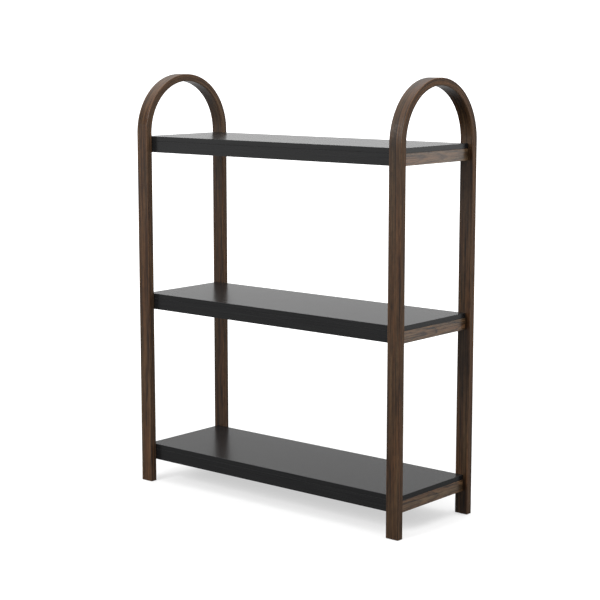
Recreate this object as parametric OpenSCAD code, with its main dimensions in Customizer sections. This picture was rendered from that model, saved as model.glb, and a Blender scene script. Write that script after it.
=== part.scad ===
// Free-standing open shelf: three shelves carried between two bent-wood hoops.
// Millimetres. X runs along the shelves, Y from front to back, Z up.
// The origin is on the floor, in the middle of the footprint.

/* [Overall] */
// Height from the floor to the top of the arches
overall_h = 1040; // [1035:5:1200]
// Length over the outer faces of the two hoops
overall_w = 826; // [500:2:1100]
// Depth over the front and rear faces of the legs
overall_d = 293; // [220:1:300]

/* [Hoops] */
// Wide face of the hoop's strip, along X
strip_w = 35; // [30:1:45]
// Thickness of the strip
strip_t = 18; // [16:1:22]
// Chamfer on the strip's four long edges
strip_arris = 1.2; // [0.5:0.1:2]

/* [Shelves] */
// Height of the bottom shelf's top face above the floor
bottom_z = 97; // [45:1:300]
// Height of the middle shelf's top face above the floor
middle_z = 489; // [350:1:700]
// Height of the top shelf's top face above the floor
top_z = 887; // [760:1:890]
// How far a shelf's end stops short of the hoop's outer face
end_inset = 13; // [8:1:18]
// Thickness of a shelf's panel
panel_t = 12; // [10:1:18]
// Full height of a shelf's edge, panel and apron together
edge_h = 40; // [38:1:50]
// Thickness of the front and rear aprons
apron_t = 18; // [15:1:20]
// Thickness of the side rails
rail_t = 18; // [16:1:20]
// Chamfer on the boards' long outer edges
board_arris = 0.6; // [0.3:0.1:1]

/* [Cam fittings] */
// Diameter of the cam bolt's shank
bolt_d = 6; // [5:0.5:6.5]
// Diameter of its wood thread in the leg
bolt_thread_d = 5; // [4:0.5:6]
// Depth of the thread in the leg
bolt_thread_l = 11; // [8:1:13]
// Distance from the leg to the middle of the cam
bolt_reach = 34; // [32:1:40]
// Diameter of the cam
cam_d = 15; // [13:1:16]
// Depth of the cam in the rail
cam_depth = 13; // [12.5:0.5:14]

/* [Dowels] */
// Diameter of a locating dowel
dowel_d = 6; // [5:0.5:6.5]
// Depth of the dowel in the leg
dowel_in_leg = 8; // [6:1:10]
// Depth of the dowel in the rail
dowel_in_rail = 22; // [16:1:22]
// Height of the dowel above the cam bolt
dowel_up = 9; // [8.5:0.5:9.5]

/* [Panel screws] */
// Diameter of a panel screw's thread
screw_d = 3.5; // [3:0.5:4]
// Length of a panel screw under its head
screw_l = 25; // [22:1:26]
// Diameter of its pan head
screw_head_d = 7; // [6:0.5:7.5]
// Diameter of the counterbore that hides the head
screw_bore_d = 8; // [8:0.5:10]
// Depth of the counterbore
screw_bore_l = 12; // [10:1:14]

/* [Feet] */
// Height that a glide stands proud of the leg
glide_h = 1; // [1:0.5:3]
// Depth of the glide's recess in the leg
glide_in = 1.5; // [1:0.5:3]
// Diameter of a glide
glide_d = 15; // [12:1:15]
// Diameter of the glide's nail
nail_d = 2; // [1.5:0.5:3]
// Length of the nail in the leg
nail_l = 16; // [12:1:20]

/* [Hidden] */
$fn = 96;

// Names for the places that the pieces take
LEFT = -1;
RIGHT = 1;
SIDES = [LEFT, RIGHT];
FRONT = -1;
REAR = 1;
DEPTHS = [FRONT, REAR];
BOTTOM = 0;
MIDDLE = 1;
TOP = 2;
SHELVES = [BOTTOM, MIDDLE, TOP];
shelf_z = [bottom_z, middle_z, top_z];

// Hoops
arch_r = overall_d / 2;                     // outer radius of the half-round arch
spring_z = overall_h - arch_r;              // height at which the legs meet the arch
leg_y = arch_r - strip_t / 2;               // middle of a leg, front to back
leg_x = (overall_w - strip_w) / 2;          // middle of a leg, along the shelves

// Shelves: the rails fit between the legs, and the aprons fit between the rails
shelf_l = overall_w - 2 * end_inset;
shelf_d = overall_d - 2 * strip_t;
apron_h = edge_h - panel_t;
apron_l = shelf_l - 2 * rail_t;
apron_y = (shelf_d - apron_t) / 2;          // middle of an apron, front to back
rail_x = (shelf_l - rail_t) / 2;            // middle of a rail, along the shelves
joint_drop = panel_t + apron_h / 2;         // from a shelf's top face to its cam bolts

// Play and overshoot
over = 1;                                   // how far a cutter reaches past the face it starts from
shank_play = 1;                             // on diameter, where a bolt or screw passes freely
cam_play = 0.2;                             // on diameter, between the cam and its pocket

// Cam bolt and cam
bolt_pitch = 1.8;
bolt_root_d = bolt_thread_d - 1.4;
collar_d = 8.6;
collar_l = 2;
bolt_head_d = 7;
bolt_head_l = 2.5;
bolt_neck_d = 4.5;
bolt_neck_l = 7;
cam_rim_d = cam_d + 2;
cam_rim_l = 0.8;
head_room = 7.6;                            // width of the cam's hollow for the bolt's head
neck_room = 5.2;                            // width of the cam's slot for the bolt's neck

// Dowels
dowel_end = 0.8;                            // chamfer on a dowel's ends
dowel_gap = 1;                              // air beyond the dowel's end in the rail

// Panel screws: three along each apron and one in the middle of each rail
screw_pitch = 1.6;
screw_root_d = screw_d - 1.1;
screw_head_l = 2.2;
screw_seat = screw_bore_l - edge_h;         // under side of the head, from the shelf's top face
apron_screw_x = 0.42 * shelf_l;
apron_screws = [-apron_screw_x, 0, apron_screw_x];
screw_spots = [
    for (depth = DEPTHS, x = apron_screws) [x, depth * apron_y],
    for (side = SIDES) [side * rail_x, 0]
];

// Feet
glide_edge = 0.5;                           // chamfer on a glide's lower rim
nail_head_d = 5;
nail_head_l = 0.4;
nail_seat = 0.6;                            // depth of the recess for the nail's head
nail_point = 3;

WALNUT = [0.28, 0.21, 0.17];
RAIL_WALNUT = [0.36, 0.28, 0.23];
BLACK = [0.14, 0.14, 0.14];
ZINC = [0.72, 0.73, 0.75];
BEECH = [0.80, 0.66, 0.46];
NYLON = [0.20, 0.20, 0.20];

// ---- Shared shapes ----

// A rectangle of w by h, centred, with its corners cut at 45 degrees by c
module cut_rectangle(w, h, c) {
    polygon([
        [-w / 2 + c, -h / 2], [w / 2 - c, -h / 2],
        [w / 2, -h / 2 + c], [w / 2, h / 2 - c],
        [w / 2 - c, h / 2], [-w / 2 + c, h / 2],
        [-w / 2, h / 2 - c], [-w / 2, -h / 2 + c]
    ]);
}

// The same with only its two upper corners cut
module topped_rectangle(w, h, c) {
    polygon([
        [-w / 2, -h / 2], [w / 2, -h / 2],
        [w / 2, h / 2 - c], [w / 2 - c, h / 2],
        [-w / 2 + c, h / 2], [-w / 2, h / 2 - c]
    ]);
}

// Two crossed slots from the origin up
module driver_cross(l, w, depth) {
    for (turn = [0, 90])
        rotate([0, 0, turn])
            translate([-l / 2, -w / 2, -over])
                cube([l, w, depth + over]);
}

// Outline of a thread from one height to another, drawn as rings between root and crest
function ridges(z_from, z_to, pitch, root_r, crest_r) = [
    for (z = [z_from : pitch : z_to - pitch])
        each [[root_r, z], [crest_r, z + 0.4 * pitch], [crest_r, z + 0.6 * pitch], [root_r, z + pitch]]
];

// ---- Places ----

// Moves to where a leg meets a shelf: the origin is on the leg's inner face at the cam bolt, +Z points out
// into the leg and +Y points up
module at_joint(side, shelf, depth) {
    translate([side * rail_x, depth * shelf_d / 2, shelf_z[shelf] - joint_drop])
        rotate([90, 0, depth == REAR ? 180 : 0])
            children();
}

module at_all_joints() {
    for (side = SIDES, shelf = SHELVES, depth = DEPTHS) at_joint(side, shelf, depth) children();
}

// Moves to a cam: the origin is on the rail's inner face, +Z points into the rail and +X points at the leg
module at_cam(side, shelf, depth) {
    turned = side * depth;
    at_joint(side, shelf, depth)
        translate([turned * rail_t / 2, 0, -bolt_reach])
            rotate([0, -90 * turned, 0])
                rotate([0, 0, turned > 0 ? 0 : 180])
                    children();
}

// Moves to the lower end of a leg
module at_foot(side, depth) {
    translate([side * leg_x, depth * leg_y, glide_h]) children();
}

// ---- Boards ----

// One bent strip, two straight legs and a half-round arch, drilled for bolts, dowels and nails
module hoop(side) {
    difference() {
        union() {
            for (depth = DEPTHS)
                at_foot(side, depth)
                    linear_extrude(spring_z - glide_h)
                        cut_rectangle(strip_w, strip_t, strip_arris);
            translate([side * leg_x, 0, spring_z])
                rotate([90, 0, 90])
                    rotate_extrude(angle = 180)
                        translate([leg_y, 0])
                            cut_rectangle(strip_t, strip_w, strip_arris);
        }
        for (shelf = SHELVES, depth = DEPTHS)
            at_joint(side, shelf, depth) {
                translate([0, 0, -over]) cylinder(d = bolt_thread_d, h = bolt_thread_l + over);
                translate([0, dowel_up, -over]) cylinder(d = dowel_d, h = dowel_in_leg + over);
            }
        for (depth = DEPTHS)
            at_foot(side, depth)
                translate([0, 0, -over]) {
                    cylinder(d = glide_d, h = glide_in + over);
                    cylinder(d = nail_d, h = nail_l + over);
                }
    }
}

// The board that things stand on, with pilot holes for the screws in its under side
module panel(shelf) {
    translate([0, 0, shelf_z[shelf]])
        difference() {
            translate([0, 0, -panel_t / 2])
                rotate([90, 0, 90])
                    linear_extrude(shelf_l, center = true)
                        topped_rectangle(shelf_d, panel_t, board_arris);
            for (spot = screw_spots)
                translate([spot[0], spot[1], screw_seat])
                    cylinder(d = screw_d, h = screw_l);
        }
}

// The upright black board between the rails, under the front or rear edge of a panel
module apron(shelf, depth) {
    difference() {
        translate([0, depth * apron_y, shelf_z[shelf] - joint_drop])
            rotate([-90, 0, 90])
                linear_extrude(apron_l, center = true)
                    topped_rectangle(apron_t, apron_h, board_arris);
        for (x = apron_screws)
            translate([x, depth * apron_y, shelf_z[shelf] - edge_h])
                screw_hole();
    }
}

// The upright walnut board under one end of a panel, from the front leg to the rear leg
module rail(shelf, side) {
    difference() {
        translate([side * rail_x, 0, shelf_z[shelf] - joint_drop])
            rotate([90, 180, 0])
                linear_extrude(shelf_d, center = true)
                    topped_rectangle(rail_t, apron_h, board_arris);
        for (depth = DEPTHS) {
            at_joint(side, shelf, depth) {
                translate([0, 0, -bolt_reach])
                    cylinder(d = bolt_head_d + shank_play, h = bolt_reach + over);
                translate([0, 0, -collar_l])
                    cylinder(d = collar_d, h = collar_l + over);
                translate([0, dowel_up, -dowel_in_rail - dowel_gap])
                    cylinder(d = dowel_d, h = dowel_in_rail + dowel_gap + over);
            }
            at_cam(side, shelf, depth)
                translate([0, 0, -over]) {
                    cylinder(d = cam_d, h = cam_depth + over);
                    cylinder(d = cam_rim_d, h = cam_rim_l + over);
                }
        }
        translate([side * rail_x, 0, shelf_z[shelf] - edge_h])
            screw_hole();
    }
}

// Counterbore and clearance hole for a panel screw, up from a board's lower edge
module screw_hole() {
    translate([0, 0, -over]) cylinder(d = screw_bore_d, h = screw_bore_l + over);
    cylinder(d = screw_d + shank_play, h = apron_h + over);
}

// ---- Fittings ----

// Steel bolt, placed by at_joint: thread in the leg, collar against it, shank, neck and head
module cam_bolt() {
    head_z = -bolt_reach - bolt_head_l / 2;
    neck_z = head_z + bolt_head_l;
    thread_tip = 2;
    difference() {
        rotate_extrude()
            polygon(concat(
                [
                    [0, head_z], [bolt_head_d / 2, head_z],
                    [bolt_head_d / 2, neck_z], [bolt_neck_d / 2, neck_z],
                    [bolt_neck_d / 2, neck_z + bolt_neck_l], [bolt_d / 2, neck_z + bolt_neck_l],
                    [bolt_d / 2, -collar_l], [collar_d / 2, -collar_l], [collar_d / 2, 0]
                ],
                ridges(0, bolt_thread_l - thread_tip, bolt_pitch, bolt_root_d / 2, bolt_thread_d / 2),
                [[bolt_root_d / 2, bolt_thread_l - thread_tip], [0, bolt_thread_l]]
            ));
        translate([0, 0, head_z]) driver_cross(3.6, 0.9, 1.6);
    }
}

// Zinc cam, placed by at_cam: a drum with a rim, a hollow for the bolt's head, a slot for its neck and a
// driver cross in its face. The hollow and the slot are open at the drum's far end
module cam_lock() {
    difference() {
        union() {
            cylinder(d = cam_d - cam_play, h = cam_depth - cam_play);
            cylinder(d = cam_rim_d - cam_play, h = cam_rim_l);
        }
        translate([-bolt_head_l, -head_room / 2, (rail_t - head_room) / 2])
            cube([1.6 * bolt_head_l, head_room, cam_depth]);
        translate([0, -neck_room / 2, (rail_t - neck_room) / 2])
            cube([cam_d, neck_room, cam_depth]);
        driver_cross(7, 1.4, 2.2);
    }
}

// Beech dowel, placed by at_joint, from the leg into the rail
module locating_dowel() {
    r = dowel_d / 2;
    inner = -dowel_in_rail;
    translate([0, dowel_up, 0])
        rotate_extrude()
            polygon([
                [0, inner], [r - dowel_end, inner], [r, inner + dowel_end],
                [r, dowel_in_leg - dowel_end], [r - dowel_end, dowel_in_leg], [0, dowel_in_leg]
            ]);
}

// Pan-head wood screw, point up; the origin is at the under side of its head
module panel_screw() {
    head_r = screw_head_d / 2;
    plain_l = 8;
    thread_end = screw_l - 3;
    difference() {
        rotate_extrude()
            polygon(concat(
                [
                    [0, -screw_head_l], [0.7 * head_r, -screw_head_l], [head_r, -0.6 * screw_head_l],
                    [head_r, 0], [screw_root_d / 2 + 0.3, 0], [screw_root_d / 2 + 0.3, plain_l]
                ],
                ridges(plain_l, thread_end, screw_pitch, screw_root_d / 2, screw_d / 2),
                [[screw_root_d / 2, thread_end], [0, screw_l]]
            ));
        translate([0, 0, -screw_head_l]) driver_cross(3.6, 0.8, 1.4);
    }
}

// Plastic pad, placed by at_foot, with a recess for the nail's head in its lower face
module foot_glide() {
    glide_r = glide_d / 2;
    seat_r = nail_head_d / 2;
    translate([0, 0, -glide_h])
        rotate_extrude()
            polygon([
                [nail_d / 2, nail_seat], [seat_r, nail_seat], [seat_r, 0],
                [glide_r - glide_edge, 0], [glide_r, glide_edge],
                [glide_r, glide_h + glide_in], [nail_d / 2, glide_h + glide_in]
            ]);
}

// Steel nail, placed by at_foot, up through the pad into the leg
module glide_nail() {
    seat_z = nail_seat - glide_h;
    rotate_extrude()
        polygon([
            [0, seat_z - nail_head_l], [nail_head_d / 2, seat_z - nail_head_l], [nail_head_d / 2, seat_z],
            [nail_d / 2, seat_z], [nail_d / 2, nail_l - nail_point], [0, nail_l]
        ]);
}

// ---- Nodes ----

module left_hoop() { color(WALNUT) hoop(LEFT); }
module right_hoop() { color(WALNUT) hoop(RIGHT); }
module top_panel() { color(BLACK) panel(TOP); }
module middle_panel() { color(BLACK) panel(MIDDLE); }
module bottom_panel() { color(BLACK) panel(BOTTOM); }
module top_front_apron() { color(BLACK) apron(TOP, FRONT); }
module middle_front_apron() { color(BLACK) apron(MIDDLE, FRONT); }
module bottom_front_apron() { color(BLACK) apron(BOTTOM, FRONT); }
module top_rear_apron() { color(BLACK) apron(TOP, REAR); }
module middle_rear_apron() { color(BLACK) apron(MIDDLE, REAR); }
module bottom_rear_apron() { color(BLACK) apron(BOTTOM, REAR); }
module top_left_rail() { color(RAIL_WALNUT) rail(TOP, LEFT); }
module middle_left_rail() { color(RAIL_WALNUT) rail(MIDDLE, LEFT); }
module bottom_left_rail() { color(RAIL_WALNUT) rail(BOTTOM, LEFT); }
module top_right_rail() { color(RAIL_WALNUT) rail(TOP, RIGHT); }
module middle_right_rail() { color(RAIL_WALNUT) rail(MIDDLE, RIGHT); }
module bottom_right_rail() { color(RAIL_WALNUT) rail(BOTTOM, RIGHT); }

module cam_bolts() { color(ZINC) at_all_joints() cam_bolt(); }

module cam_locks() {
    color(ZINC)
        for (side = SIDES, shelf = SHELVES, depth = DEPTHS)
            at_cam(side, shelf, depth)
                cam_lock();
}

module locating_dowels() { color(BEECH) at_all_joints() locating_dowel(); }

module panel_screws() {
    color(ZINC)
        for (shelf = SHELVES, spot = screw_spots)
            translate([spot[0], spot[1], shelf_z[shelf] + screw_seat])
                panel_screw();
}

module foot_glides() {
    color(NYLON)
        for (side = SIDES, depth = DEPTHS)
            at_foot(side, depth)
                foot_glide();
}

module glide_nails() {
    color(ZINC)
        for (side = SIDES, depth = DEPTHS)
            at_foot(side, depth)
                glide_nail();
}

left_hoop();
right_hoop();
top_panel();
middle_panel();
bottom_panel();
top_front_apron();
middle_front_apron();
bottom_front_apron();
top_rear_apron();
middle_rear_apron();
bottom_rear_apron();
top_left_rail();
middle_left_rail();
bottom_left_rail();
top_right_rail();
middle_right_rail();
bottom_right_rail();
cam_bolts();
cam_locks();
locating_dowels();
panel_screws();
foot_glides();
glide_nails();
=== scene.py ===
"""A free-standing open shelf: three black shelves between two bent walnut hoops.

Metres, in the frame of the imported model: X along the shelves, Y from front to back, Z up from the floor.
"""

import math
import random

import bmesh
import bpy
import numpy as np
from mathutils import Matrix, Vector


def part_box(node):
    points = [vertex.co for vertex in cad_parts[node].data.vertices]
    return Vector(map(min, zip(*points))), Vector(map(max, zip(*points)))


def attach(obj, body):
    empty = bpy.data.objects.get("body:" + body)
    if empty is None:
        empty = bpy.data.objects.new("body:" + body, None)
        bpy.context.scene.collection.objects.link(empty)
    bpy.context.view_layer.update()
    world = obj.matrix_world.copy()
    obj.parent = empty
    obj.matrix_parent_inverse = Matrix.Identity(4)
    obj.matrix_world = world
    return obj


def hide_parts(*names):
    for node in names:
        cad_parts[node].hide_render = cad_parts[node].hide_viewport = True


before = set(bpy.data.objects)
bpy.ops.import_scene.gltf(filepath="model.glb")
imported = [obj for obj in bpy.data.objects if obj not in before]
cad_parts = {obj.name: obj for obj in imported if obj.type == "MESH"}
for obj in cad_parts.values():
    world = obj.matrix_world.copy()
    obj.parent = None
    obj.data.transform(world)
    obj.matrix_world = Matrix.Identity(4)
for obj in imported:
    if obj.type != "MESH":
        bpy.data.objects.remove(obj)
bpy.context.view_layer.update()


# ---- Sizes ----

MM = 0.001
ROOT = "root"
SHELVES = ("top", "middle", "bottom")
SIDES = {"left": -1, "right": 1}
DEPTHS = ("front", "rear")
UP = Vector((0, 0, 1))

# Roundings that the eye sees as soft edges
HOOP_ROUND = 1.7 * MM
FOOT_ROUND = 0.4 * MM
BOARD_ROUND = 0.6 * MM
ROUND_STEPS = 4
SHARP_ANGLE = math.radians(40)
FLAT_FACE_WEIGHT = 100
WELD = 1e-4 * MM

# The hoop's strip, glued from thin veneers
STRIP_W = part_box("left_hoop")[1].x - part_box("left_hoop")[0].x
STRIP_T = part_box("top_panel")[0].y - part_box("left_hoop")[0].y
VENEERS = 9
VENEER_T = STRIP_T / VENEERS
ARCH_STATIONS = 96

# Holes as in the CAD model. Reach is how far out the outer screws are, as a share of the shelf's length
SCREW_BORE_R = 4.0 * MM
SCREW_BORE_L = 12.0 * MM
SCREW_REACH = 0.42
CAM_RIM_R = 8.5 * MM
CAM_RIM_DEPTH = 0.8 * MM
CAM_RIM_PLAY = 0.1 * MM
CAM_R = 7.5 * MM
CAM_DEPTH = 13.0 * MM
HOLE_EASE = 0.4 * MM
CAM_RIM_EASE = 0.1 * MM
HOLE_SIDES = 48


# ---- Looks ----

# Tones are dark, middle and light. The rings lie round a pith below the face, tilted along the length;
# waves are how far slow bends and short ripples move them.
HOOP_WOOD = {
    "tones": ((0.0200, 0.0080, 0.0032), (0.070, 0.0315, 0.0120), (0.155, 0.084, 0.0380)),
    "ring_gap": 3.6 * MM,
    "pith": 45 * MM,
    "tilt": 0.0,
    "waves": (20 * MM, 4 * MM),
    "streak": 0.85,
    "rough": 0.24,
    "ior": 1.45,
    "coat": 0.0,
}
RAIL_WOOD = {
    "tones": ((0.0150, 0.0060, 0.0022), (0.148, 0.083, 0.0390), (0.280, 0.176, 0.0980)),
    "ring_gap": 4.6 * MM,
    "pith": 10 * MM,
    "tilt": 0.05,
    "waves": (12 * MM, 8 * MM),
    "streak": 0.45,
    "rough": 0.20,
    "ior": 1.50,
    "coat": 0.25,
}
COAT_ROUGH = 0.16
VENEER_JUMP = (3.0, 0.02, 0.02)
PITH_SPREAD = 6 * MM
STREAK_ROUGH = 0.18
SIDE_ROUGH = 0.40
PORE_SHADE = 0.35
# How far the rounded edges go past the light tone: partly rubbed wear, partly a painted highlight along the
# arris
EDGE_WEAR_HIGHLIGHT_LIFT = 0.03
COOL = (0.91, 1.0, 1.05)
WARM = (1.12, 0.98, 0.88)

# How many features of each texture fit in a metre along, across and into the grain
WARP = (2.6, 16, 16)
RIPPLE = (14, 50, 50)
STREAK = (5, 260, 260)
BROAD = (1.4, 30, 30)
BLUSH = (3.0, 70, 70)
FLECK = (38, 420, 420)
PORE = (90, 2600, 2600)
BLACK_LINE = (7, 420, 420)
BLACK_MOTTLE = (3, 9, 9)
BLACK_SPECK = (900, 900, 900)

BLACK_TONES = ((0.0070, 0.0071, 0.0075), (0.0125, 0.0127, 0.0132))
# Colour of the paler rounded edges: partly rubbed wear, partly a painted highlight
BLACK_EDGE_WEAR_HIGHLIGHT = (0.055, 0.055, 0.056)
BLACK_ROUGH = 0.23
BLACK_IOR = 1.38

# First seeds of the materials' random shifts
HOOP_SEED = 11
BLACK_SEED = 31
RAIL_SEED = 51


# ---- Studio ----

CAMERA_PLACE = Vector((2.5289, -2.9888, 1.1025))
CAMERA_TILT = math.radians(81.177)
CAMERA_TURN = math.radians(40.250)
CAMERA_LENS = 96.99
CAMERA_SENSOR = 36.0

FLOOR_R = 7.0
FLOOR_SIDES = 96
FLOOR_TONES = ((0.45, 0.45, 0.45), (0.48, 0.48, 0.48))
FLOOR_BOUNCE = (0.14, 0.14, 0.14)
FLOOR_GLOW = 0.555
FLOOR_SHEEN = (0.2, 0.6)

# Brightness of the surroundings: in front, behind, as a share above the horizon, and overhead
SURROUND_FRONT = 0.35
SURROUND_BEHIND = 1.62
SURROUND_HIGH = 0.29
SURROUND_TOP = 0.88
BRIGHT_SIDE = Vector((0.15, 0.95, 0.25)).normalized()
WHITE = (1.0, 1.0, 1.0, 1.0)

# Where each softbox stands, what it points at, its width and height, and its power in watts
SOFTBOXES = {
    "key_softbox": ((-0.4, -3.5, 2.4), (0, 0, 0.5), (1.6, 1.6), 115),
    "top_softbox": ((1.3, 0.2, 3.9), (0, 0, 0.4), (2.2, 2.2), 50),
    "front_bounce": ((-2.0, -2.4, 0.95), (0, 0, 0.6), (1.6, 1.1), 3.5),
}


# ---- Meshes ----


def finish_mesh(mesh):
    """Welds the mesh and shades it smooth, with sharp edges where the surface turns a corner."""
    work = bmesh.new()
    work.from_mesh(mesh)
    bmesh.ops.remove_doubles(work, verts=work.verts, dist=WELD)
    for face in work.faces:
        face.smooth = True
    for edge in work.edges:
        if len(edge.link_faces) == 2:
            edge.smooth = edge.calc_face_angle(0.0) < SHARP_ANGLE
    work.to_mesh(mesh)
    work.free()
    return mesh


def add_piece(name, mesh, material, replaced):
    """Links a mesh as a piece that rides on the root body and stands for a CAD node."""
    piece = bpy.data.objects.new(name, mesh)
    bpy.context.scene.collection.objects.link(piece)
    mesh.materials.clear()
    mesh.materials.append(material)
    weighted = piece.modifiers.new("flat_faces", "WEIGHTED_NORMAL")
    weighted.keep_sharp = True
    weighted.weight = FLAT_FACE_WEIGHT
    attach(piece, ROOT)
    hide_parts(replaced)


def store(mesh, name, kind, values):
    """Writes one value per vertex as a named attribute that the materials read."""
    layer = mesh.attributes.new(name, kind, "POINT")
    field = "vector" if kind == "FLOAT_VECTOR" else "value"
    layer.data.foreach_set(field, np.asarray(values, np.float32).ravel())


def vertex_array(mesh):
    points = np.zeros(len(mesh.vertices) * 3)
    mesh.vertices.foreach_get("co", points)
    return points.reshape(-1, 3)


def rounded_outline(width, height, radius, inset):
    """Points round a rectangle with round corners, the whole outline moved inwards by inset."""
    points = []
    steps = 2 * ROUND_STEPS
    reach_x = width / 2 - radius
    reach_y = height / 2 - radius
    for quarter in range(4):
        corner_x = reach_x * (1 if quarter in (0, 3) else -1)
        corner_y = reach_y * (1 if quarter in (0, 1) else -1)
        for step in range(steps + 1):
            angle = (quarter + step / steps) * math.pi / 2
            x = corner_x + (radius - inset) * math.cos(angle)
            y = corner_y + (radius - inset) * math.sin(angle)
            points.append((x, y))
    return points


def leg_stations(low):
    """Heights along a leg, each with the outline's inset: the rounded foot, then the shelves' faces."""
    stations = []
    for step in range(ROUND_STEPS + 1):
        turn = step / ROUND_STEPS * math.pi / 2
        stations.append((low.z + FOOT_ROUND * (1 - math.cos(turn)), FOOT_ROUND * (1 - math.sin(turn))))
    for shelf in reversed(SHELVES):
        stations.append((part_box(f"{shelf}_front_apron")[0].z, 0.0))
        stations.append((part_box(f"{shelf}_panel")[1].z, 0.0))
    return stations


def hoop_stations(low, high):
    """Places along the strip's middle line, from the front foot over the arch to the rear foot.

    Each is (length along the line, middle point, outward direction, inset of the outline).
    """
    radius = (high.y - low.y) / 2
    middle_r = radius - STRIP_T / 2
    spring = high.z - radius
    leg = spring - low.z
    arch = math.pi * middle_r
    centre = Vector(((low.x + high.x) / 2, 0, spring))
    stations = []
    for z, inset in leg_stations(low):
        middle = Vector((centre.x, -middle_r, z))
        stations.append((z - low.z, middle, Vector((0, -1, 0)), inset))
    for k in range(ARCH_STATIONS + 1):
        share = k / ARCH_STATIONS
        angle = math.pi - share * math.pi
        out = Vector((0, math.cos(angle), math.sin(angle)))
        stations.append((leg + arch * share, centre + out * middle_r, out, 0.0))
    for z, inset in reversed(leg_stations(low)):
        middle = Vector((centre.x, middle_r, z))
        stations.append((leg + arch + spring - z, middle, Vector((0, 1, 0)), inset))
    return stations


def hoop_mesh(name, low, high):
    """A strip with round edges swept along the hoop; its length, width and depth are stored for the grain."""
    work = bmesh.new()
    rings, grain, edge = [], [], []
    for along, middle, out, inset in hoop_stations(low, high):
        ring = []
        for u, v in rounded_outline(STRIP_W, STRIP_T, HOOP_ROUND, inset):
            ring.append(work.verts.new(middle + Vector((u, 0, 0)) + out * v))
            grain.append((along, u, v))
            gap = max(STRIP_W / 2 - abs(u), STRIP_T / 2 - abs(v))
            edge.append(max(0.0, 1 - gap / HOOP_ROUND))
        rings.append(ring)
    count = len(rings[0])
    for a, b in zip(rings, rings[1:]):
        for k in range(count):
            n = (k + 1) % count
            work.faces.new((a[k], a[n], b[n], b[k]))
    work.faces.new(list(reversed(rings[0])))
    work.faces.new(rings[-1])
    bmesh.ops.recalc_face_normals(work, faces=work.faces)
    mesh = bpy.data.meshes.new(name)
    work.to_mesh(mesh)
    work.free()
    store(mesh, "grain", "FLOAT_VECTOR", grain)
    store(mesh, "edge", "FLOAT", edge)
    return mesh


def lathe(work, profile, place):
    """Adds a closed turned solid to a bmesh: the profile is (radius, height) from axis to axis."""
    angles = [2 * math.pi * k / HOLE_SIDES for k in range(HOLE_SIDES)]
    rings = []
    for radius, height in profile:
        spots = [(radius * math.cos(a), radius * math.sin(a)) for a in angles] if radius else [(0, 0)]
        rings.append([work.verts.new(place @ Vector((x, y, height))) for x, y in spots])
    for a, b in zip(rings, rings[1:]):
        for k in range(HOLE_SIDES):
            n = (k + 1) % HOLE_SIDES
            corners = [a[k % len(a)], a[n % len(a)], b[n % len(b)], b[k % len(b)]]
            corners = [c for i, c in enumerate(corners) if c not in corners[:i]]
            work.faces.new(corners)


def drill(radius, depth, ease=HOLE_EASE, past=1.0 * MM):
    """Profile of a cutter for a blind hole along +Z from a face at 0, with an eased rim."""
    return [(0, -past), (radius + ease + past, -past), (radius, ease), (radius, depth), (0, depth)]


def aimed(place, direction):
    """A matrix that moves a cutter to a place and turns its +Z to a direction."""
    return Matrix.Translation(place) @ UP.rotation_difference(direction).to_matrix().to_4x4()


def screw_hole(x, y, z):
    """The cutter of a panel screw's counterbore, up from a board's lower edge."""
    return drill(SCREW_BORE_R, SCREW_BORE_L), aimed(Vector((x, y, z)), UP)


def cut(mesh, cutters):
    """Subtracts turned cutters, each (profile, place), from a mesh and returns the new one."""
    work = bmesh.new()
    for profile, place in cutters:
        lathe(work, profile, place)
    bmesh.ops.recalc_face_normals(work, faces=work.faces)
    tool_mesh = bpy.data.meshes.new("cutter")
    work.to_mesh(tool_mesh)
    work.free()
    tool = bpy.data.objects.new("cutter", tool_mesh)
    blank = bpy.data.objects.new("blank", mesh)
    for item in (tool, blank):
        bpy.context.scene.collection.objects.link(item)
    modifier = blank.modifiers.new("holes", "BOOLEAN")
    modifier.operation = "DIFFERENCE"
    modifier.solver = "EXACT"
    modifier.object = tool
    depsgraph = bpy.context.evaluated_depsgraph_get()
    result = bpy.data.meshes.new_from_object(blank.evaluated_get(depsgraph), depsgraph=depsgraph)
    bpy.data.objects.remove(blank)
    bpy.data.objects.remove(tool)
    return result


def board_mesh(name, low, high, along_axis, cutters=()):
    """A board with all its edges rounded, drilled, with grain along one axis."""
    centre = (low + high) / 2
    size = high - low
    work = bmesh.new()
    bmesh.ops.create_cube(work, size=1.0)
    bmesh.ops.scale(work, vec=size, verts=work.verts)
    bmesh.ops.translate(work, vec=centre, verts=work.verts)
    rounding = {"offset": BOARD_ROUND, "segments": ROUND_STEPS, "profile": 0.5, "affect": "EDGES"}
    bmesh.ops.bevel(work, geom=work.edges[:], **rounding)
    mesh = bpy.data.meshes.new(name)
    work.to_mesh(mesh)
    work.free()
    if cutters:
        mesh = cut(mesh, cutters)
        mesh.name = name
    finish_mesh(mesh)
    points = vertex_array(mesh) - np.array(centre)
    order = {"x": (0, 1, 2), "y": (1, 2, 0)}[along_axis]
    store(mesh, "grain", "FLOAT_VECTOR", points[:, order])
    gap = np.sort(np.array(size) / 2 - np.abs(points), axis=1)
    store(mesh, "edge", "FLOAT", np.clip(1 - gap[:, 1] / BOARD_ROUND, 0, 1))
    return mesh


# ---- Nodes ----


def new_material(name):
    material = bpy.data.materials.new(name)
    material.use_nodes = True
    return material, material.node_tree, material.node_tree.nodes["Principled BSDF"]


def plug(tree, socket, value):
    """Links an output to a socket, or sets the socket to a value."""
    if isinstance(value, bpy.types.NodeSocket):
        tree.links.new(value, socket)
    else:
        socket.default_value = value


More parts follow.
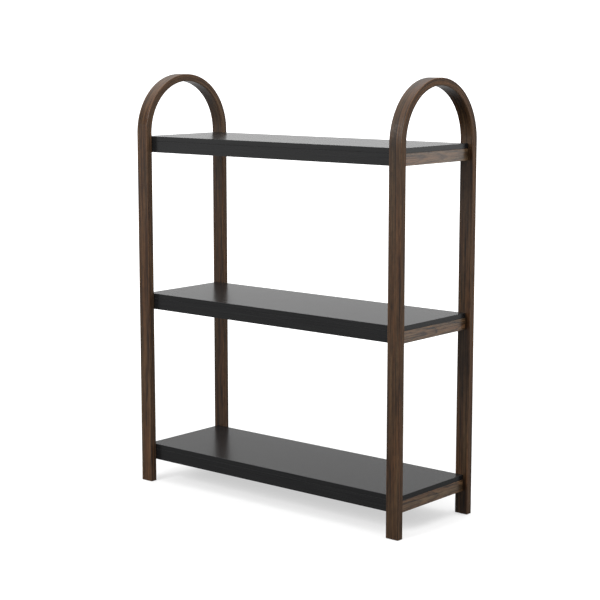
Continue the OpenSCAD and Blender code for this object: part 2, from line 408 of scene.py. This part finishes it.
def add(tree, kind, inputs=None, **settings):
    """A new node with its settings; its inputs are values or other nodes' outputs."""
    made = tree.nodes.new("ShaderNode" + kind)
    for name, value in settings.items():
        setattr(made, name, value)
    for name, value in (inputs or {}).items():
        plug(tree, made.inputs[name], value)
    return made


def stored(tree, name, output):
    """An attribute that the mesh carries."""
    return add(tree, "Attribute", attribute_name=name).outputs[output]


def object_place(tree):
    return add(tree, "TexCoord").outputs["Object"]


def split(tree, vector):
    """The X, Y and Z of a vector, by name."""
    return add(tree, "SeparateXYZ", {"Vector": vector}).outputs


def calc(tree, operation, *values):
    """The output of a Math node over values and outputs."""
    made = add(tree, "Math", operation=operation)
    for socket, value in zip(made.inputs, values):
        plug(tree, socket, value)
    return made.outputs[0]


def noise(tree, vector, scale, shift=(0, 0, 0), detail=3.0, roughness=0.5):
    """Noise over a vector that is scaled for each axis, so that it stretches along the grain, and shifted."""
    place = add(tree, "Mapping", {"Vector": vector, "Location": shift, "Scale": scale}).outputs[0]
    made = add(tree, "TexNoise", {"Vector": place, "Scale": 1.0, "Detail": detail, "Roughness": roughness})
    return made.outputs["Fac"]


def random_shift(rng):
    """A random place in the noise, so that no two materials have the same figure."""
    return tuple(rng.uniform(-5, 5) for _ in range(3))


def ramp(tree, factor, *stops):
    """A colour ramp with stops of (place, colour), where one number is a grey."""
    made = add(tree, "ValToRGB", {"Fac": factor})
    elements = made.color_ramp.elements
    while len(elements) < len(stops):
        elements.new(0.5)
    for element, (place, colour) in zip(elements, stops):
        element.position = place
        element.color = (*colour, 1.0) if isinstance(colour, tuple) else (colour, colour, colour, 1.0)
    return made.outputs["Color"]


def blend(tree, value, source, target):
    """A smooth step of a value from one range to another."""
    limits = {"From Min": source[0], "From Max": source[1], "To Min": target[0], "To Max": target[1]}
    made = add(tree, "MapRange", {"Value": value, **limits}, interpolation_type="SMOOTHSTEP")
    return made.outputs["Result"]


def mix(tree, factor, a, b, blend_type="MIX"):
    made = add(tree, "Mix", data_type="RGBA", blend_type=blend_type)
    plug(tree, made.inputs["Factor"], factor)
    for socket, value in ((made.inputs[6], a), (made.inputs[7], b)):
        plug(tree, socket, (*value, 1.0) if isinstance(value, tuple) else value)
    return made.outputs[2]


def tint(tree, colour, by, amount=1.0):
    """A colour multiplied by another."""
    return mix(tree, amount, colour, by, "MULTIPLY")


def bump(tree, shader, height, distance):
    made = add(tree, "Bump", {"Height": height, "Distance": distance, "Strength": 1.0})
    tree.links.new(made.outputs["Normal"], shader.inputs["Normal"])


# ---- Materials ----


def split_veneers(tree, grain, seed):
    """Gives each veneer its own piece of grain; returns it with the veneers' tones and the glue lines.

    The depth is shrunk a little first, so that the strip's faces lie within the outer veneers.
    """
    within = calc(tree, "MULTIPLY_ADD", split(tree, grain)["Z"], 0.999, STRIP_T / 2)
    place = calc(tree, "DIVIDE", within, VENEER_T)
    number = calc(tree, "ADD", calc(tree, "FLOOR", place), seed)
    chance = add(tree, "TexWhiteNoise", {"W": number}, noise_dimensions="1D").outputs
    jump = add(tree, "VectorMath", {0: chance["Color"], 1: VENEER_JUMP}, operation="MULTIPLY").outputs[0]
    moved = add(tree, "VectorMath", {0: grain, 1: jump}, operation="ADD").outputs[0]
    tone = calc(tree, "MULTIPLY_ADD", chance["Value"], 0.16, 0.92)
    grey = add(tree, "CombineColor", {"Red": tone, "Green": tone, "Blue": tone}).outputs[0]
    glue = ramp(tree, calc(tree, "PINGPONG", place, 0.5), (0.0, 0.7), (0.09, 1.0))
    return moved, grey, glue


def growth_rings(tree, grain, wood, shift, off_centre):
    """Rings round a pith below the face: each fades from 1 to 0, its dark late wood, and jumps back."""
    bend, wave = wood["waves"]
    warp = noise(tree, grain, WARP, shift, 2.0)
    ripple = noise(tree, grain, RIPPLE, shift, 2.0)
    place = split(tree, grain)
    across = calc(tree, "ADD", place["Y"], off_centre)
    deep = calc(tree, "ADD", place["Z"], wood["pith"])
    deep = calc(tree, "MULTIPLY_ADD", place["X"], wood["tilt"], deep)
    square = calc(tree, "MULTIPLY_ADD", across, across, calc(tree, "MULTIPLY", deep, deep))
    radius = calc(tree, "MULTIPLY_ADD", warp, bend, calc(tree, "SQRT", square))
    radius = calc(tree, "MULTIPLY_ADD", ripple, wave, radius)
    ring = calc(tree, "FRACT", calc(tree, "DIVIDE", radius, wood["ring_gap"]))
    return ramp(tree, ring, (0.0, 1.0), (0.45, 0.75), (0.80, 0.0), (1.0, 1.0))


def walnut(name, wood, seed, veneers=False):
    """Stained walnut under lacquer, with growth rings, streaks, flecks and pores along the stored grain."""
    dark, middle, light = wood["tones"]
    material, tree, shader = new_material(name)
    rng = random.Random(seed)
    shift = random_shift(rng)
    off_centre = rng.uniform(-PITH_SPREAD, PITH_SPREAD)
    grain = stored(tree, "grain", "Vector")
    face_place = split(tree, grain)
    if veneers:
        grain, veneer_tone, glue = split_veneers(tree, grain, seed)
    streak = noise(tree, grain, STREAK, shift, 6.0, 0.65)
    broad = noise(tree, grain, BROAD, shift)
    blush = noise(tree, grain, BLUSH, shift[::-1])
    fleck = noise(tree, grain, FLECK, shift, 3.0, 0.6)
    pores = ramp(tree, noise(tree, grain, PORE, shift, 2.0), (0.33, 0.0), (0.42, 1.0))

    colour = mix(tree, growth_rings(tree, grain, wood, shift, off_centre), dark, middle)
    colour = mix(tree, ramp(tree, streak, (0.42, 0.0), (0.62, wood["streak"])), colour, light)
    colour = tint(tree, colour, ramp(tree, streak, (0.34, 0.6), (0.46, 1.0)))
    colour = tint(tree, colour, ramp(tree, fleck, (0.36, 0.60), (0.54, 1.08)))
    colour = tint(tree, colour, ramp(tree, broad, (0.3, 0.76), (0.7, 1.16)))
    colour = tint(tree, colour, ramp(tree, blush, (0.35, COOL), (0.65, WARM)))
    colour = tint(tree, colour, pores, PORE_SHADE)
    if veneers:
        colour = tint(tree, tint(tree, colour, veneer_tone), glue)
    # Rounded edges paler in patches: partly rubbed wear, partly a painted highlight along the arris
    wear_and_highlight = calc(tree, "MULTIPLY", stored(tree, "edge", "Fac"), ramp(tree, broad, (0.40, 0.0), (0.7, 0.25)))
    colour = mix(tree, wear_and_highlight, colour, tuple(tone + EDGE_WEAR_HIGHLIGHT_LIFT for tone in light))
    tree.links.new(colour, shader.inputs["Base Color"])

    rough = calc(tree, "MULTIPLY_ADD", streak, STREAK_ROUGH, wood["rough"])
    if veneers:
        off_middle = calc(tree, "ABSOLUTE", face_place["Y"])
        side = calc(tree, "GREATER_THAN", off_middle, STRIP_W / 2 - HOOP_ROUND / 2)
        rough = calc(tree, "MULTIPLY_ADD", side, SIDE_ROUGH, rough)
    tree.links.new(rough, shader.inputs["Roughness"])
    shader.inputs["IOR"].default_value = wood["ior"]
    shader.inputs["Coat Weight"].default_value = wood["coat"]
    shader.inputs["Coat Roughness"].default_value = COAT_ROUGH
    height = calc(tree, "ADD", calc(tree, "MULTIPLY", pores, 0.6), calc(tree, "MULTIPLY", streak, 0.5))
    bump(tree, shader, height, 0.08 * MM)
    return material


def black_lacquer(name, seed):
    """Satin black lacquer over long-grained board: faint lines and specks, edges paler, partly rubbed wear
    and partly a painted highlight.
    """
    material, tree, shader = new_material(name)
    shift = random_shift(random.Random(seed))
    grain = stored(tree, "grain", "Vector")
    line = noise(tree, grain, BLACK_LINE, shift, 5.0, 0.6)
    mottle = noise(tree, grain, BLACK_MOTTLE, shift)
    speck = noise(tree, grain, BLACK_SPECK, shift, 2.0)
    colour = mix(tree, ramp(tree, line, (0.3, 0.0), (0.7, 1.0)), *BLACK_TONES)
    # Rounded edges paler in patches: partly rubbed wear, partly a painted highlight along the arris
    wear_and_highlight = calc(tree, "MULTIPLY", stored(tree, "edge", "Fac"), ramp(tree, mottle, (0.35, 0.1), (0.65, 0.5)))
    tree.links.new(mix(tree, wear_and_highlight, colour, BLACK_EDGE_WEAR_HIGHLIGHT), shader.inputs["Base Color"])
    tree.links.new(calc(tree, "MULTIPLY_ADD", line, 0.05, BLACK_ROUGH), shader.inputs["Roughness"])
    shader.inputs["IOR"].default_value = BLACK_IOR
    bump(tree, shader, calc(tree, "MULTIPLY_ADD", speck, 0.2, line), 0.03 * MM)
    return material


def bare_metal(name, colour, rough, seed):
    """Zinc or zinc-plated steel, with cloudy patches and fine scratches."""
    material, tree, shader = new_material(name)
    shift = random_shift(random.Random(seed))
    place = object_place(tree)
    cloud = noise(tree, place, (160, 160, 160), shift, 4.0)
    scratch = noise(tree, place, (300, 4000, 300), shift)
    dull = tuple(0.72 * tone for tone in colour)
    tree.links.new(mix(tree, cloud, dull, colour), shader.inputs["Base Color"])
    tree.links.new(calc(tree, "MULTIPLY_ADD", cloud, 0.22, rough), shader.inputs["Roughness"])
    shader.inputs["Metallic"].default_value = 1.0
    bump(tree, shader, scratch, 0.02 * MM)
    return material


def beech(name):
    """Raw beech for the dowels: pale, fleck-grained, dry."""
    material, tree, shader = new_material(name)
    line = noise(tree, object_place(tree), (900, 40, 900), detail=5.0)
    tree.links.new(mix(tree, line, (0.42, 0.27, 0.14), (0.66, 0.47, 0.28)), shader.inputs["Base Color"])
    tree.links.new(calc(tree, "MULTIPLY_ADD", line, 0.2, 0.55), shader.inputs["Roughness"])
    bump(tree, shader, line, 0.08 * MM)
    return material


def nylon(name):
    """Black moulded nylon with a fine spark texture and scuffs."""
    material, tree, shader = new_material(name)
    place = object_place(tree)
    spark = noise(tree, place, (2500, 2500, 2500), detail=2.0)
    scuff = noise(tree, place, (120, 400, 120), detail=4.0)
    tree.links.new(mix(tree, scuff, (0.018, 0.018, 0.018), (0.05, 0.05, 0.05)), shader.inputs["Base Color"])
    tree.links.new(calc(tree, "MULTIPLY_ADD", scuff, 0.25, 0.40), shader.inputs["Roughness"])
    bump(tree, shader, spark, 0.03 * MM)
    return material


# ---- The shelf ----


def build_hoop(side, seed):
    node = f"{side}_hoop"
    material = walnut(f"{side}_hoop_walnut", HOOP_WOOD, seed, veneers=True)
    mesh = finish_mesh(hoop_mesh(f"{side}_hoop_wood", *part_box(node)))
    add_piece(f"{side}_hoop_wood", mesh, material, node)


def build_panel(shelf, black):
    node = f"{shelf}_panel"
    mesh = board_mesh(f"{node}_board", *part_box(node), "x")
    add_piece(f"{node}_board", mesh, black, node)


def build_apron(shelf, depth, black):
    """The board under a panel's front or rear edge, with three screw holes in its lower edge."""
    node = f"{shelf}_{depth}_apron"
    low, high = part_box(node)
    panel_low, panel_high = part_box(f"{shelf}_panel")
    reach = SCREW_REACH * (panel_high.x - panel_low.x)
    y = (low.y + high.y) / 2
    cutters = [screw_hole(x, y, low.z) for x in (-reach, 0.0, reach)]
    mesh = board_mesh(f"{node}_board", low, high, "x", cutters)
    add_piece(f"{node}_board", mesh, black, node)


def build_rail(shelf, side, seed):
    """The board under a panel's end, with a screw hole below and two cam pockets in its inner face."""
    node = f"{shelf}_{side}_rail"
    out = SIDES[side]
    low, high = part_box(node)
    middle = (low + high) / 2
    inner_x = low.x if out > 0 else high.x
    cam_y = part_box("cam_locks")[1].y - CAM_RIM_R + CAM_RIM_PLAY
    cutters = [screw_hole(middle.x, 0, low.z)]
    for y in (-cam_y, cam_y):
        place = aimed(Vector((inner_x, y, middle.z)), Vector((out, 0, 0)))
        cutters.append((drill(CAM_RIM_R, CAM_RIM_DEPTH, CAM_RIM_EASE), place))
        cutters.append((drill(CAM_R, CAM_DEPTH, 0.0), place))
    wood = walnut(f"{node}_walnut", RAIL_WOOD, seed)
    mesh = board_mesh(f"{node}_wood", low, high, "y", cutters)
    add_piece(f"{node}_wood", mesh, wood, node)


def build_shelf(shelf, number):
    black = black_lacquer(f"{shelf}_black_lacquer", BLACK_SEED + number)
    build_panel(shelf, black)
    for depth in DEPTHS:
        build_apron(shelf, depth, black)
    for side, out in SIDES.items():
        build_rail(shelf, side, RAIL_SEED + 2 * number + out)


def dress_fittings():
    """The CAD fittings keep their shapes and get materials."""
    finishes = {
        "cam_bolts": bare_metal("bolt_steel", (0.62, 0.63, 0.65), 0.22, 71),
        "cam_locks": bare_metal("cam_zinc", (0.55, 0.55, 0.56), 0.40, 72),
        "panel_screws": bare_metal("screw_steel", (0.62, 0.62, 0.60), 0.25, 73),
        "glide_nails": bare_metal("nail_steel", (0.60, 0.61, 0.63), 0.30, 74),
        "locating_dowels": beech("dowel_beech"),
        "foot_glides": nylon("glide_nylon"),
    }
    for node, material in finishes.items():
        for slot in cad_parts[node].material_slots:
            slot.link = "OBJECT"
            slot.material = material


# ---- The studio ----


def add_camera():
    data = bpy.data.cameras.new("camera")
    data.lens = CAMERA_LENS
    data.sensor_width = CAMERA_SENSOR
    camera = bpy.data.objects.new("camera", data)
    camera.location = CAMERA_PLACE
    camera.rotation_euler = (CAMERA_TILT, 0.0, CAMERA_TURN)
    bpy.context.scene.collection.objects.link(camera)
    bpy.context.scene.camera = camera


def floor_material():
    """A pale floor that glows evenly, as a lit studio sweep does, so that shadows on it stay light.

    It gives little bounced light, and glossy faces see a sheen on it that grows away from the shelf and
    towards the back.
    """
    material, tree, shader = new_material("pale_floor")
    place = object_place(tree)
    rays = add(tree, "LightPath").outputs
    seen = rays["Is Camera Ray"]
    pale = mix(tree, noise(tree, place, (0.8, 0.8, 0.8)), *FLOOR_TONES)
    tree.links.new(mix(tree, seen, FLOOR_BOUNCE, pale), shader.inputs["Base Color"])
    shader.inputs["Roughness"].default_value = 0.9
    shader.inputs["Specular IOR Level"].default_value = 0.0
    shader.inputs["Emission Color"].default_value = WHITE
    away = add(tree, "VectorMath", {0: place}, operation="LENGTH").outputs["Value"]
    glow = blend(tree, away, (0.8, 2.5), (FLOOR_GLOW, 1.0))
    far = blend(tree, away, (0.5, 3.0), (0.35, 1.0))
    back = blend(tree, split(tree, place)["Y"], (-1.5, 1.5), FLOOR_SHEEN)
    mirrored = calc(tree, "MULTIPLY", rays["Is Glossy Ray"], calc(tree, "MULTIPLY", far, back))
    tree.links.new(calc(tree, "MULTIPLY_ADD", seen, glow, mirrored), shader.inputs["Emission Strength"])
    return material


def add_floor():
    work = bmesh.new()
    bmesh.ops.create_circle(work, cap_ends=True, segments=FLOOR_SIDES, radius=FLOOR_R)
    mesh = bpy.data.meshes.new("floor")
    work.to_mesh(mesh)
    work.free()
    floor = bpy.data.objects.new("floor", mesh)
    bpy.context.scene.collection.objects.link(floor)
    mesh.materials.append(floor_material())


def add_softbox(name, place, target, size, power):
    data = bpy.data.lights.new(name, "AREA")
    data.shape = "RECTANGLE"
    data.size, data.size_y = size
    data.energy = power
    light = bpy.data.objects.new(name, data)
    light.location = place
    light.rotation_euler = (Vector(target) - Vector(place)).to_track_quat("-Z", "Y").to_euler()
    bpy.context.scene.collection.objects.link(light)


def add_surroundings():
    """White surroundings for the eye. As light they are brightest low behind the shelf and overhead."""
    world = bpy.data.worlds.new("studio")
    bpy.context.scene.world = world
    world.use_nodes = True
    tree = world.node_tree
    way = add(tree, "TexCoord").outputs["Generated"]
    facing = add(tree, "VectorMath", {0: way, 1: BRIGHT_SIDE}, operation="DOT_PRODUCT").outputs["Value"]
    rise = split(tree, way)["Z"]
    behind = blend(tree, facing, (-0.7, 0.4), (SURROUND_FRONT, SURROUND_BEHIND))
    high = blend(tree, rise, (0.03, 0.21), (1.0, SURROUND_HIGH))
    overhead = blend(tree, rise, (0.26, 0.76), (0.0, SURROUND_TOP))
    level = calc(tree, "MULTIPLY_ADD", behind, high, overhead)
    level = calc(tree, "MAXIMUM", level, add(tree, "LightPath").outputs["Is Camera Ray"])
    background = tree.nodes["Background"]
    background.inputs["Color"].default_value = WHITE
    tree.links.new(level, background.inputs["Strength"])


add_camera()
for number, side in enumerate(SIDES):
    build_hoop(side, HOOP_SEED + number)
for number, shelf in enumerate(SHELVES):
    build_shelf(shelf, number)
dress_fittings()
add_floor()
add_surroundings()
for name, (place, target, size, power) in SOFTBOXES.items():
    add_softbox(name, place, target, size, power)
bpy.context.scene.view_settings.view_transform = "Standard"
